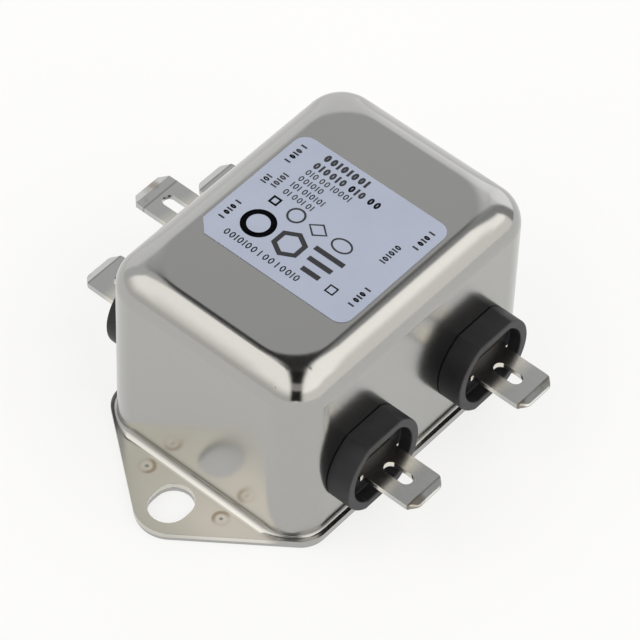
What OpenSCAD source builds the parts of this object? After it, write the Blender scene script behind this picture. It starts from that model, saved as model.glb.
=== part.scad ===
// Chassis-mounted EMI line filter in a drawn steel can with 6.3 mm quick-connect tabs.
// Origin: centre of the base plate's underside. X runs through the mounting ears,
// the load terminals face -Y and the line terminals, with the earth tab, face +Y.

/* [Can] */
// Length of the can between its two ear walls
can_l = 44.5; // [42:0.1:60]
// Depth of the can between its two terminal walls
can_d = 32.8; // [32:0.1:45]
// Height from the mounting surface to the flat top
overall_h = 29.5; // [28.8:0.1:40]
// Sheet thickness of the drawn can
can_t = 0.7; // [0.5:0.05:0.9]
// Outside radius of the upright corners
corner_r = 5.4; // [4.6:0.1:6]
// Outside radius round the top edge
top_r = 3.8; // [2:0.1:4.1]
// Radius where the wall turns out into the flange
flare_r = 1; // [0.6:0.1:1.4]
// How far the narrow lip stands out on the terminal sides
lip_w = 0.7; // [0.3:0.05:1]

/* [Mounting ears] */
// Distance between the two mounting holes
hole_pitch = 54; // [53:0.5:72]
// Width of the oval mounting hole, across the ear
hole_w = 5.3; // [3.5:0.1:6]
// Length of the oval mounting hole, along the ear
hole_l = 6.3; // [3.6:0.1:7]
// Radius of the ear's tip round the hole centre
ear_r = 4.75; // [4.2:0.05:6]
// Outline radius where an ear runs into the lip
root_r = 4; // [2:0.1:5]
// Thickness of the flat base plate
base_t = 0.7; // [0.5:0.05:1.5]
// How far the base plate stands back from the flange edge
base_inset = 0.15; // [0:0.05:0.5]
// Distance of each spot weld from the hole centre, along the ear
weld_dx = 2.35; // [1.5:0.05:2.6]
// Distance between the two spot welds of an ear
weld_pitch = 12.3; // [11:0.1:13]
// Diameter of a spot weld's dimple
weld_d = 1.1; // [0.6:0.1:1.8]
// Depth of a spot weld's dimple
weld_depth = 0.12; // [0.05:0.01:0.3]

/* [Terminals] */
// Distance between the two terminals of one side
terminal_pitch = 21; // [19:0.1:24]
// Height of the terminal centre line above the mounting surface
terminal_z = 10.4; // [9.6:0.1:12]
// Width of a quick-connect tab
tab_w = 6.3; // [4.8:0.1:6.3]
// Thickness of a quick-connect tab
tab_t = 0.8; // [0.5:0.05:1]
// Distance from the can's wall to the tip of a line or load tab
tab_reach = 10.9; // [9.5:0.05:14]
// Corner cut at the tip of a tab
tab_corner = 1.05; // [0.4:0.05:1.5]
// Length of the bevelled lead-in at the tip of a tab
tab_bevel = 1; // [0.4:0.05:2]
// Width of the slot in a tab
tab_slot_w = 1.8; // [1:0.1:2.4]
// Distance from a tab's tip to the outer end of its slot
tab_slot_tip = 3; // [2.5:0.1:4]
// Length of the slot in a tab
tab_slot_l = 4.2; // [2:0.1:5]
// Extra width of the tab's shoulder on each side
shoulder_w = 0.4; // [0.2:0.05:0.6]
// Length of the tab's shoulder
shoulder_l = 1.2; // [0.6:0.1:1.5]
// How far a tab reaches into the can past its wall
tab_inside = 5.6; // [5.4:0.1:6]

/* [Insulating bushes] */
// Diameter of a bush's round head
bush_d = 13.2; // [12:0.1:15]
// Height of the head across its two flats
bush_flats = 11.7; // [11:0.1:13]
// How far the head stands out from the wall
bush_out = 3.5; // [2.5:0.05:5]
// Wall round the recess in the head
bush_rim = 1.25; // [0.8:0.05:1.8]
// Depth of the recess in the head
recess_depth = 1.9; // [1:0.1:2.3]
// Width of the oval neck that passes through the wall
neck_w = 10.4; // [9:0.1:11]
// Height of the oval neck
neck_h = 8; // [6:0.1:8.6]
// Depth of the neck behind the can's outer wall
neck_l = 2.1; // [1.8:0.1:2.6]
// How far a snap barb stands up from the neck
barb_h = 0.5; // [0.3:0.05:0.8]

/* [Earth tab] */
// Height of the earth tab's upper face above the mounting surface
earth_z = 16.2; // [15:0.1:18]
// Distance from the can's wall to the tip of the earth tab
earth_reach = 12.2; // [11:0.05:14]
// Height of the earth tab's foot on the wall
earth_foot_h = 7.5; // [6:0.1:9]
// Inside radius of the earth tab's bend
earth_bend_r = 0.6; // [0.3:0.1:1.2]

/* [Label] */
// Length of the label across the can, line to load
label_l = 23.9; // [16:0.1:24]
// Width of the label along the can
label_w = 20.5; // [14:0.1:26]
// Thickness of the label
label_t = 0.12; // [0.08:0.01:0.3]
// Corner radius of the label
label_r = 1.8; // [0.5:0.1:3]
// Cut at the one square-cut corner
label_cut = 1.8; // [0.5:0.1:3]
// Offset of the label's centre along the can
label_x = 0.45; // [0:0.05:1.5]

/* [Choke] */
// Outside diameter of the choke's cased ring core
core_od = 16; // [14:0.1:16.2]
// Hole diameter of the cased ring core
core_id = 9.2; // [8:0.1:10]
// Height of the cased ring core
core_h = 8.6; // [7:0.1:9.4]
// Wall of the plastic case round the ferrite
case_t = 0.6; // [0.4:0.1:0.8]
// Room left between the windings and the can's top
choke_top_gap = 2.3; // [1.7:0.1:2.9]
// Thickness of the plate that keeps the two windings apart
divider_t = 1.2; // [0.6:0.1:1.5]
// How far the divider's cap stays inside the core's edge
divider_inset = 0.5; // [0.2:0.1:1.5]
// Diameter of the winding wire
wire_d = 1.1; // [0.6:0.1:1.1]
// Turns of each winding
turns = 7; // [4:1:7]
// Angle that each winding covers
wind_angle = 136; // [100:2:140]

/* [Capacitors and resistor] */
// Length of each film capacitor's box
cap_l = 26; // [24:0.1:28]
// Gap between each film capacitor and the choke beside it
cap_choke_gap = 1; // [0.8:0.1:2.2]
// Height of each film capacitor's box
cap_h = 11.5; // [9:0.1:12]
// Lead spacing of the film capacitors
cap_pitch = 22.5; // [22:0.5:23]
// Diameter of a capacitor's leads
cap_lead_d = 0.8; // [0.6:0.1:1]
// Room left between a capacitor and the can's top
cap_top_gap = 0.9; // [0.8:0.1:1.5]
// Body diameter of the bleed resistor
bleed_d = 2.4; // [1.5:0.1:3]
// Body length of the bleed resistor
bleed_l = 6.5; // [4:0.1:9]
// Diameter of the bleed resistor's leads
bleed_lead_d = 0.6; // [0.4:0.05:0.8]

/* [Insulation and sealing] */
// Thickness of the insulating liner
liner_t = 0.25; // [0.15:0.05:0.5]
// Depth of the sealing resin poured on the open side
resin_t = 2.4; // [1:0.1:2.6]

/* [Clearances] */
// Gap left between pieces that slide into each other
fit = 0.15; // [0.05:0.01:0.2]
// Gap left between the choke, the capacitors and their neighbours
air = 0.1; // [0.05:0.01:0.2]

/* [Hidden] */
$fn = 96;
nothing = 0.01;

half_l = can_l / 2;
half_d = can_d / 2;
flange_z = base_t;
wall_z = flange_z + can_t;
inner_l = half_l - can_t;
inner_d = half_d - can_t;
inner_r = corner_r - can_t;
inner_top = overall_h - can_t;
lip_y = half_d + lip_w;
root_x = half_l - corner_r + flare_r;
root_y = lip_y - root_r;
terminal_x = terminal_pitch / 2;
tab_tip = half_d + tab_reach;
bush_face = half_d + bush_out;
recess_floor = bush_face - recess_depth;
neck_end = half_d - neck_l;
tab_end = half_d - tab_inside;
tab_top = terminal_z + tab_t / 2;
tab_bottom = terminal_z - tab_t / 2;
liner_l = inner_l - air;
liner_d = inner_d - air;
liner_z0 = flange_z + air + resin_t + air;
liner_z1 = overall_h - top_r - air;
wire_r = wire_d / 2;
choke_z = inner_top - choke_top_gap - wire_d - air - core_h / 2;
cap_t = neck_end - air - core_od / 2 - cap_choke_gap;

// ---- outlines -----------------------------------------------------------

// Rectangle with round corners, from exact arcs
module round_rect(hx, hy, r) {
    square([2 * hx, 2 * (hy - r)], center = true);
    square([2 * (hx - r), 2 * hy], center = true);
    for (sx = [-1, 1], sy = [-1, 1])
        translate([sx * (hx - r), sy * (hy - r)]) circle(r);
}

// Two round ends joined by straight sides
module oval(w, h) {
    r = min(w, h) / 2;
    for (s = [-1, 1]) translate([s * (w / 2 - r), s * (h / 2 - r)]) circle(r);
    square(w > h ? [w - 2 * r, h] : [w, h - 2 * r], center = true);
}

// Flange outline: an ear tip at each end, run by tangents into four corner arcs.
// inset shrinks it evenly.
module flange_outline(inset = 0) {
    tip = [hole_pitch / 2, 0];
    root = [root_x, root_y];
    step = tip - root;
    lean = atan2(step.y, step.x) + acos((root_r - ear_r) / norm(step));
    away = [cos(lean), sin(lean)];
    corner = [tip + away * (ear_r - inset), root + away * (root_r - inset),
        [root.x, lip_y - inset]];
    back = [corner[2], corner[1], corner[0]];
    polygon(concat(
        corner, [for (p = back) [-p.x, p.y]],
        [for (p = corner) [-p.x, -p.y]], [for (p = back) [p.x, -p.y]]));
    for (sx = [-1, 1]) {
        translate([sx * tip.x, 0]) circle(ear_r - inset);
        for (sy = [-1, 1])
            translate([sx * root.x, sy * root.y]) circle(root_r - inset);
    }
}

// ---- sheet-metal forms --------------------------------------------------

// Box with round upright corners and a round top edge, from the ground z0 to the top z1
module drawn_box(hx, hy, r, edge, z0, z1) {
    translate([0, 0, z0]) linear_extrude(z1 - edge - z0) round_rect(hx, hy, r);
    translate([0, 0, z1 - edge]) {
        linear_extrude(edge) square([2 * (hx - edge), 2 * (hy - r)], center = true);
        linear_extrude(edge) square([2 * (hx - r), 2 * (hy - edge)], center = true);
        for (s = [-1, 1]) {
            translate([s * (hx - edge), 0, 0]) rotate([90, 0, 0])
                cylinder(r = edge, h = 2 * (hy - r), center = true);
            translate([0, s * (hy - edge), 0]) rotate([0, 90, 0])
                cylinder(r = edge, h = 2 * (hx - r), center = true);
        }
        for (sx = [-1, 1], sy = [-1, 1])
            translate([sx * (hx - r), sy * (hy - r), 0]) rotate_extrude() {
                square([r - edge, edge]);
                intersection() {
                    translate([r - edge, 0]) circle(edge);
                    square([r, edge]);
                }
            }
    }
}

// Section of a hollow curve: what a sheet bent outwards adds at its foot
module bend_section(r) {
    difference() {
        square(r);
        translate([r, r]) circle(r);
    }
}

// The same section carried round a rounded rectangle
module bend_ring(hx, hy, corner, r) {
    for (side = [0, 180]) rotate(side) {
        translate([0, hy - corner, 0]) for (sx = [0, 1]) mirror([sx, 0, 0])
            translate([hx - corner, 0, 0]) rotate_extrude(angle = 90)
                translate([corner, 0]) bend_section(r);
        translate([hx, 0, 0]) rotate([90, 0, 0])
            linear_extrude(2 * (hy - corner), center = true) bend_section(r);
        translate([0, hy, 0]) rotate([90, 0, 90])
            linear_extrude(2 * (hx - corner), center = true) bend_section(r);
    }
}

// Puts a child that faces -Y on the wall at a terminal: side -1 is load, 1 is line
module at_terminal(side, x) {
    translate([x, 0, 0]) mirror([0, side > 0 ? 1 : 0, 0]) children();
}

// Cut through a wall on the load side, centred on the terminal line
module wall_hole(w, h, depth) {
    translate([0, -half_d - nothing, terminal_z]) rotate([-90, 0, 0])
        linear_extrude(depth) oval(w, h);
}

module terminal_holes(w, h, depth) {
    for (side = [-1, 1], sx = [-1, 1]) at_terminal(side, sx * terminal_x)
        wall_hole(w, h, depth);
}

module mounting_holes(z0, z1) {
    for (s = [-1, 1]) translate([s * hole_pitch / 2, 0, z0])
        linear_extrude(z1 - z0) oval(hole_l, hole_w);
}

// Drawn can: five walls, the round-out at its mouth, the lip and both ears
module can() color("silver") difference() {
    union() {
        drawn_box(half_l, half_d, corner_r, top_r, flange_z, overall_h);
        translate([0, 0, flange_z]) linear_extrude(can_t) flange_outline();
        intersection() {
            translate([0, 0, wall_z]) bend_ring(half_l, half_d, corner_r, flare_r);
            translate([0, 0, flange_z]) linear_extrude(can_t + flare_r) flange_outline();
        }
    }
    drawn_box(inner_l, inner_d, inner_r, top_r - can_t, flange_z - nothing, inner_top);
    translate([0, 0, flange_z]) bend_ring(inner_l, inner_d, inner_r, flare_r + can_t);
    terminal_holes(neck_w + 2 * fit, neck_h + 2 * fit, can_t + 2 * nothing);
    mounting_holes(flange_z - nothing, wall_z + nothing);
    for (sx = [-1, 1], sy = [-1, 1])
        translate([sx * (hole_pitch / 2 - weld_dx), sy * weld_pitch / 2,
            wall_z - weld_depth]) cylinder(d = weld_d, h = weld_depth + nothing);
}

module base_plate() color("silver") difference() {
    linear_extrude(base_t) flange_outline(base_inset);
    mounting_holes(-nothing, base_t + nothing);
}

// Label: three round corners and one cut off square, on the line side by the -X ear
module label() color("lightsteelblue") {
    x = label_w / 2;
    y = label_l / 2;
    r = label_r;
    translate([label_x, 0, overall_h]) linear_extrude(label_t) {
        polygon([[-x, r - y], [r - x, -y], [x - r, -y], [x, r - y], [x, y - r], [x - r, y],
            [label_cut - x, y], [-x, y - label_cut]]);
        for (corner = [[r - x, r - y], [x - r, r - y], [x - r, y - r]])
            translate(corner) circle(r);
    }
}

// ---- terminals ----------------------------------------------------------

// Round head cut by two flats; less shrinks it evenly
module bush_head_outline(less = 0) {
    intersection() {
        circle(d = bush_d - 2 * less);
        square([bush_d, bush_flats - 2 * less], center = true);
    }
}

// Bush seen from the load side: head with its recess, neck through the wall,
// a snap barb above and below, and the slot for the tab
module bush() color("dimgray") difference() {
    union() {
        translate([0, -half_d, terminal_z]) rotate([90, 0, 0])
            linear_extrude(bush_out) bush_head_outline();
        translate([0, -neck_end, terminal_z]) rotate([90, 0, 0])
            linear_extrude(neck_l) oval(neck_w, neck_h);
        for (up = [0, 1]) translate([0, 0, terminal_z]) mirror([0, 0, up])
            rotate([90, 0, 90]) linear_extrude(neck_w - neck_h, center = true)
                polygon([[-neck_end, neck_h / 2 - 1], [-neck_end, neck_h / 2],
                    [-inner_d + fit, neck_h / 2 + barb_h],
                    [-inner_d + fit, neck_h / 2 - 1]]);
    }
    translate([0, -recess_floor, terminal_z]) rotate([90, 0, 0])
        linear_extrude(recess_depth + nothing) bush_head_outline(bush_rim);
    translate([0, -recess_floor / 2 - neck_end / 2, terminal_z])
        cube([tab_w + 2 * air, recess_floor - neck_end + 2 * nothing, tab_t + 2 * air],
            center = true);
}

// Flat tab along -Y from y0 to its tip: cut corners, a slot and a bevel on both faces.
// Its middle plane is z = 0.
module tab_blade(y0, tip) {
    half = tab_w / 2;
    difference() {
        linear_extrude(tab_t, center = true) difference() {
            polygon([[-half, -y0], [-half, -tip + tab_corner],
                [-half + tab_corner, -tip], [half - tab_corner, -tip],
                [half, -tip + tab_corner], [half, -y0]]);
            translate([0, -tip + tab_slot_tip + tab_slot_l / 2])
                oval(tab_slot_w, tab_slot_l);
        }
        for (up = [0, 1]) mirror([0, 0, up]) rotate([90, 0, 90])
            linear_extrude(tab_w + 1, center = true)
                polygon([[-tip - 1, tab_t], [-tip - nothing, tab_t / 6],
                    [-tip + tab_bevel, tab_t / 2], [-tip + tab_bevel, tab_t]]);
    }
}

// Line or load tab, with the shoulders that stop it in the bush's recess
module terminal_tab() color("gainsboro") translate([0, 0, terminal_z]) {
    tab_blade(tab_end, tab_tip);
    translate([0, -recess_floor - shoulder_l / 2, 0])
        cube([tab_w + 2 * shoulder_w, shoulder_l, tab_t], center = true);
}

// Earth tab: the same blade, bent down into a foot that is welded flat on the wall
module earth_tab() color("gainsboro") mirror([0, 1, 0]) {
    bend_out = earth_bend_r + tab_t;
    translate([0, 0, earth_z - tab_t / 2]) tab_blade(half_d + bend_out, half_d + earth_reach);
    translate([-tab_w / 2, -half_d - tab_t, earth_z - earth_foot_h])
        cube([tab_w, tab_t, earth_foot_h - bend_out]);
    translate([0, -half_d - bend_out, earth_z - bend_out]) rotate([90, 0, 90])
        linear_extrude(tab_w, center = true) intersection() {
            difference() {
                circle(bend_out);
                circle(earth_bend_r);
            }
            square(bend_out);
        }
}

// ---- insulation and sealing ---------------------------------------------

module insulating_liner() color("khaki") difference() {
    translate([0, 0, liner_z0]) linear_extrude(liner_z1 - liner_z0) difference() {
        round_rect(liner_l, liner_d, inner_r - air);
        round_rect(liner_l - liner_t, liner_d - liner_t, inner_r - air - liner_t);
    }
    terminal_holes(neck_w + 2 * fit, neck_h + 2 * barb_h + 2 * fit, can_t + 1);
}

module sealing_resin() color("darkslategray")
    translate([0, 0, flange_z + air]) linear_extrude(resin_t)
        round_rect(inner_l - air, inner_d - air, inner_r - air);

// ---- choke --------------------------------------------------------------

case_ro = core_od / 2;
case_ri = core_id / 2;

module choke_ferrite() color("darkslategray") {
    ro = case_ro - case_t - air;
    ri = case_ri + case_t + air;
    h = core_h - 2 * case_t - 2 * air;
    chamfer = 0.4;
    translate([0, 0, choke_z]) rotate_extrude() polygon([
        [ri, -h / 2 + chamfer], [ri + chamfer, -h / 2], [ro - chamfer, -h / 2],
        [ro, -h / 2 + chamfer], [ro, h / 2 - chamfer], [ro - chamfer, h / 2],
        [ri + chamfer, h / 2], [ri, h / 2 - chamfer]]);
}

// Trough of the plastic case, open upwards
module choke_core_case() color("whitesmoke")
    translate([0, 0, choke_z - core_h / 2]) rotate_extrude() difference() {
        translate([case_ri, 0]) square([case_ro - case_ri, core_h - case_t]);
        translate([case_ri + case_t, case_t])
            square([case_ro - case_ri - 2 * case_t, core_h]);
    }

// Flat ring lid that closes the case
module choke_case_lid() color("whitesmoke")
    translate([0, 0, choke_z + core_h / 2 - case_t]) rotate_extrude()
        translate([case_ri, 0]) square([case_ro - case_ri, case_t]);

// Plate through the core's hole that keeps the two windings apart
module choke_divider() color("whitesmoke") translate([0, 0, choke_z]) {
    cube([divider_t, core_id - 2 * fit, core_h], center = true);
    translate([0, 0, (core_h + divider_t) / 2])
        cube([divider_t, core_od - 2 * divider_inset, divider_t], center = true);
}

// ---- windings, as a tube swept along a computed path --------------------

tube_sides = 8;
coil_ri = case_ri - wire_r - air;
coil_ro = case_ro + wire_r + air;
coil_h = core_h / 2 + wire_r + air;
coil_bend = 0.9;
// One turn, out from the lower outer corner: up outside, in over the top, down the bore
turn_section = [
    for (a = [-75, -45, -15]) [coil_ro - coil_bend + coil_bend * cos(a),
        -coil_h + coil_bend + coil_bend * sin(a)],
    for (a = [15, 45, 75]) [coil_ro - coil_bend + coil_bend * cos(a),
        coil_h - coil_bend + coil_bend * sin(a)],
    for (a = [105, 135, 165]) [coil_ri + coil_bend + coil_bend * cos(a),
        coil_h - coil_bend + coil_bend * sin(a)],
    for (a = [195, 225, 255]) [coil_ri + coil_bend + coil_bend * cos(a),
        -coil_h + coil_bend + coil_bend * sin(a)]];
turn_points = len(turn_section);
// Where a winding's ends meet the tabs, beside the capacitor's lead
lead_x = terminal_x - 1.5;
lead_y = tab_end + wire_r + 0.25;

function coil_point(i) =
    let (last = turns * turn_points,
        a = 180 - wind_angle / 2 + wind_angle * i / last,
        p = turn_section[i % turn_points])
    [p[0] * cos(a), p[0] * sin(a), choke_z + p[1]];
function lead_points(side) =
    let (a = 180 + side * wind_angle / 2,
        foot = [-lead_x, -side * lead_y, tab_top],
        knee = choke_z - coil_h - 1.3,
        third = (knee - tab_top) / 3)
    [foot, foot + [0, 0, min(0.9, third)],
        [-lead_x + 0.5, -side * (lead_y - 0.2), knee - min(0.5, third)],
        [(coil_ro + 0.5) * cos(a) - 1.3, (coil_ro + 0.3) * sin(a), knee + 0.2]];
winding_path = concat(
    lead_points(-1),
    [for (i = [0:turns * turn_points]) coil_point(i)],
    [for (i = [3:-1:0]) lead_points(1)[i]]);

function unit(v) = v / norm(v);
function tangent(path, i) = unit(
    i == 0 ? path[1] - path[0] :
    i == len(path) - 1 ? path[i] - path[i - 1] :
    unit(path[i + 1] - path[i]) + unit(path[i] - path[i - 1]));
// Carries a direction along the path, so that the tube doesn't twist
function carried(path, i, v) =
    let (t = tangent(path, i)) unit(v - t * (v * t));
function frames(path, i = 0, v = [1, 0, 0]) =
    i == len(path) ? [] :
    let (n = carried(path, i, v)) concat([n], frames(path, i + 1, n));

module swept_tube(path, r) {
    normals = frames(path);
    count = len(path);
    rings = [for (i = [0:count - 1])
        let (t = tangent(path, i), n = normals[i], b = cross(t, n))
        for (k = [0:tube_sides - 1]) let (a = 360 * k / tube_sides)
            path[i] + r * (cos(a) * n + sin(a) * b)];
    sides = [for (i = [0:count - 2], k = [0:tube_sides - 1])
        let (a = i * tube_sides + k, b = i * tube_sides + (k + 1) % tube_sides)
            [a, a + tube_sides, b + tube_sides, b]];
    start = [for (k = [0:tube_sides - 1]) k];
    finish = [for (k = [tube_sides - 1:-1:0]) (count - 1) * tube_sides + k];
    polyhedron(rings, concat(sides, [start, finish]), convexity = 10);
}

module choke_winding_n() color("peru") swept_tube(winding_path, wire_r);
module choke_winding_p() color("peru") mirror([1, 0, 0]) choke_winding_n();

// ---- capacitors and bleed resistor --------------------------------------

cap_z = inner_top - cap_top_gap - cap_h;
cap_y = neck_end - air - cap_t / 2;

// Film capacitor: a box with soft upright edges and two leads down to the tabs
module film_capacitor() color("gold") {
    translate([0, -cap_y, cap_z]) linear_extrude(cap_h) round_rect(cap_l / 2, cap_t / 2, 0.6);
    for (s = [-1, 1]) translate([s * cap_pitch / 2, -cap_y, tab_top])
        cylinder(d = cap_lead_d, h = cap_z - tab_top + 0.5);
}
module load_capacitor() film_capacitor();
module line_capacitor() mirror([0, 1, 0]) film_capacitor();

// Bleed resistor under the load tabs: soft-ended body on one straight lead
module bleed_resistor() color("tan") {
    r = bleed_d / 2;
    translate([0, -tab_end - 1.2, tab_bottom - air - bleed_lead_d / 2]) rotate([0, 90, 0]) {
        cylinder(d = bleed_lead_d, h = terminal_pitch, center = true);
        rotate_extrude() polygon([[0, -bleed_l / 2], [r - 0.5, -bleed_l / 2],
            [r, -bleed_l / 2 + 0.7], [r, -bleed_l / 2 + 1.6], [r - 0.2, -bleed_l / 2 + 2],
            [r - 0.2, bleed_l / 2 - 2], [r, bleed_l / 2 - 1.6], [r, bleed_l / 2 - 0.7],
            [r - 0.5, bleed_l / 2], [0, bleed_l / 2]]);
    }
}

can();
base_plate();
label();
at_terminal(-1, -terminal_x) bush();  // load_bush_n
at_terminal(-1, terminal_x) bush();  // load_bush_p
at_terminal(1, -terminal_x) bush();  // line_bush_n
at_terminal(1, terminal_x) bush();  // line_bush_p
at_terminal(-1, -terminal_x) terminal_tab();  // load_tab_n
at_terminal(-1, terminal_x) terminal_tab();  // load_tab_p
at_terminal(1, -terminal_x) terminal_tab();  // line_tab_n
at_terminal(1, terminal_x) terminal_tab();  // line_tab_p
earth_tab();
insulating_liner();
sealing_resin();
choke_ferrite();
choke_core_case();
choke_case_lid();
choke_divider();
choke_winding_n();
choke_winding_p();
line_capacitor();
load_capacitor();
bleed_resistor();
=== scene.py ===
# %% [markdown]
# # Dressing an EMI line filter
# The real part is a deep-drawn steel can with a mounting ear at each end, welded to a flat
# base plate. Five push-on tabs leave it, four of them through dark plastic bushes, and a thin
# film label lies on its top. This lesson loads the engineering model as a fixed frame. It then
# models the visible pieces once more with soft edges, and gives every piece its finish.

# %% Load the frame
import math

import bmesh
import bpy
from mathutils import Matrix, Vector
from mathutils.geometry import intersect_line_line_2d


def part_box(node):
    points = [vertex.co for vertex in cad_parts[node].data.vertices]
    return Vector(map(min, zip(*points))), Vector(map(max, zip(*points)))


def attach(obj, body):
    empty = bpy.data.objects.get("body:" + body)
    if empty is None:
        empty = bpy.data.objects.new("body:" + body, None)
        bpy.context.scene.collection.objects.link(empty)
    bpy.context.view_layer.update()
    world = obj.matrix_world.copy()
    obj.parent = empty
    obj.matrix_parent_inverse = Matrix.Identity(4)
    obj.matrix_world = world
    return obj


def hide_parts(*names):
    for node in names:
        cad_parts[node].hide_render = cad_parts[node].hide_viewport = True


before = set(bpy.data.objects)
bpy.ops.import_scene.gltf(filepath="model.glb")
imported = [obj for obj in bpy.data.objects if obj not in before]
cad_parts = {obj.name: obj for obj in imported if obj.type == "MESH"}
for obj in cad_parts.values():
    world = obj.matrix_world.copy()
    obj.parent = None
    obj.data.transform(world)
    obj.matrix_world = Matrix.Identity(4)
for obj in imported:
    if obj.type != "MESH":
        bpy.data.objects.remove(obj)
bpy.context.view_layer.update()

# %% [markdown]
# ## Sizes
# Blender works in metres here, so a size in millimetres is multiplied by MM. What the packed
# model can tell is read from its boxes. The rest are the few sizes a sheet-metal drawing gives.

# %% Driving sizes
MM = 0.001
can_low, can_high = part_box("can")
plate_low, plate_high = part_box("base_plate")
label_low, label_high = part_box("label")

can_l = 44.5 * MM                       # between the two ear walls
can_d = 32.8 * MM                       # between the two terminal walls
corner_r = 5.4 * MM                     # upright corners
top_r = 4.1 * MM                        # top edge
sheet = 0.7 * MM                        # sheet thickness
flare_r = 1.0 * MM                      # a wall's turn-out, as drawn; it places the flange outline
hole_pitch = 54.0 * MM                  # between the two mounting holes
hole_l = 6.3 * MM                       # mounting hole, along the ear
hole_w = 5.3 * MM                       # mounting hole, across the ear
root_r = 4.0 * MM                       # outline where an ear meets the lip
weld_spot = Vector((24.65, 6.15)) * MM  # spot weld on each ear, mirrored to four places
weld_r = 0.55 * MM                      # radius of a spot weld's dent
neck_w = 10.7 * MM                      # oval wall hole for a bush, along the wall
neck_h = 8.3 * MM                       # and upwards

lip_y = can_high.y
ear_r = can_high.x - hole_pitch / 2
wall_z = can_low.z + sheet
tiny = 0.001 * MM
print("ears have a radius of", round(ear_r / MM, 2), "mm, lip", round((lip_y - can_d / 2) / MM, 2), "mm")

# %% [markdown]
# ## Camera
# A long lens from about half a metre keeps the walls nearly parallel, as in a catalogue view.
# The camera is placed by turning a rig: first round the upright axis, then up, then a slight
# roll. The rig's own axes then give the spot it aims at and how far back it stands.

# %% Place the camera
def place_camera(azimuth, elevation, roll, aim, shift, distance, lens):
    """Stand a camera off from aim; azimuth 0 looks along +Y."""
    rig = Matrix.Rotation(math.radians(azimuth), 4, "Z")
    rig = rig @ Matrix.Rotation(math.radians(90 - elevation), 4, "X")
    spot = aim + rig.to_3x3() @ Vector((shift[0], shift[1], distance))
    data = bpy.data.cameras.new("studio_camera")
    data.lens = lens
    data.sensor_width = 36
    data.clip_start = 0.01
    camera = bpy.data.objects.new("studio_camera", data)
    camera.matrix_world = (Matrix.Translation(spot) @ rig
                           @ Matrix.Rotation(math.radians(roll), 4, "Z"))
    bpy.context.scene.collection.objects.link(camera)
    bpy.context.scene.camera = camera
    return camera


camera = place_camera(azimuth=-50.895, elevation=50.065, roll=2.328,
                      aim=Vector((0, 0, 12 * MM)), shift=(0.352 * MM, 0.401 * MM),
                      distance=539.665 * MM, lens=244.387)
print("the camera stands at", [round(x, 3) for x in camera.matrix_world.translation])

# %% [markdown]
# ## Arithmetic on shader sockets
# A finish is easier to read as a formula than as a web of nodes. The class below wraps one
# output socket, and each operator adds the Math node that does it. `blend` mixes two colours,
# and any other node comes from the one function `node`, which makes its settings first and its
# inputs after that.

# %% A socket that can be calculated with
class Sock:
    """One output socket of a node tree; arithmetic on it adds Math nodes."""

    def __init__(self, tree, socket):
        self.tree = tree
        self.socket = socket

    def math(self, operation, *others):
        return node(self.tree, "Math", (self,) + others, operation=operation)

    def __add__(self, other):
        return self.math("ADD", other)

    def __sub__(self, other):
        return self.math("SUBTRACT", other)

    def __mul__(self, other):
        return self.math("MULTIPLY", other)

    def __rsub__(self, other):
        return node(self.tree, "Math", (other, self), operation="SUBTRACT")

    def __neg__(self):
        return 0 - self

    def __pow__(self, other):
        return self.math("POWER", other)

    def __abs__(self):
        return self.math("ABSOLUTE")

    __radd__ = __add__
    __rmul__ = __mul__

    def step(self, low, high):
        """0 below low, 1 above high, and a smooth ramp between."""
        return node(self.tree, "MapRange", (self, low, high), interpolation_type="SMOOTHSTEP")

    def band(self, middle, half, soft):
        """1 within half of middle, fading to 0 over soft."""
        return 1 - abs(self - middle).step(half, half + soft)


def node(tree, kind, inputs=(), out=0, **settings):
    """Add a node: settings first, then its inputs by place or by name."""
    made = tree.nodes.new("ShaderNode" + kind)
    for name, value in settings.items():
        setattr(made, name, value)
    named = inputs if isinstance(inputs, dict) else dict(enumerate(inputs))
    for key, value in named.items():
        connect(tree, value, made.inputs[key])
    return Sock(tree, made.outputs[out])


def connect(tree, value, socket):
    """Link a wrapped socket, or set a plain value."""
    if isinstance(value, Sock):
        tree.links.new(value.socket, socket)
    else:
        socket.default_value = value


def blend(tree, factor, first, second):
    """Mix two colours; each is a wrapped socket or three numbers."""
    mix = tree.nodes.new("ShaderNodeMix")
    mix.data_type = "RGBA"
    for value, socket in ((factor, mix.inputs[0]), (first, mix.inputs[6]), (second, mix.inputs[7])):
        connect(tree, (*value, 1) if isinstance(value, tuple) else value, socket)
    return Sock(tree, mix.outputs[2])


print("shader arithmetic is ready")

# %% [markdown]
# ## Studio
# Satin metal shows the room more than it shows itself, so the room is designed first. It is a
# light tent: a bright front, split by a dark slot where the lens looks in, a dark gap overhead,
# and a mid-grey back. The rounded edges of the can pick these up as a bright band beside a thin
# dark line. The gap is lit a little at both ends, so the line fades out towards the far corners.
# Close to the floor the front is dimmer. All of it is a formula on the direction, so there are
# no lamps to hide.

# %% Build the light tent
TENT = 1.75                     # radiance of the bright front
TENT_DIM = 0.15                 # share of it that is missing on the right
LOW = 0.85                      # radiance of the front close to the floor, and of the ground
BACK = 0.65                     # radiance of the back, high up
BACK_LOW = 1.10                 # radiance of the back, lower down
DARK = 0.02                     # radiance of the slot and the gap
RIGHT_FILL = 0.42               # light added on the right
LEFT_FILL = 0.80                # light added on the left, in the gap only
LENS_SHINE = 0.28               # share of the slot that is lit where the lens looks in
WARM = (1, 0.975, 0.93)         # colour of the front

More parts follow.
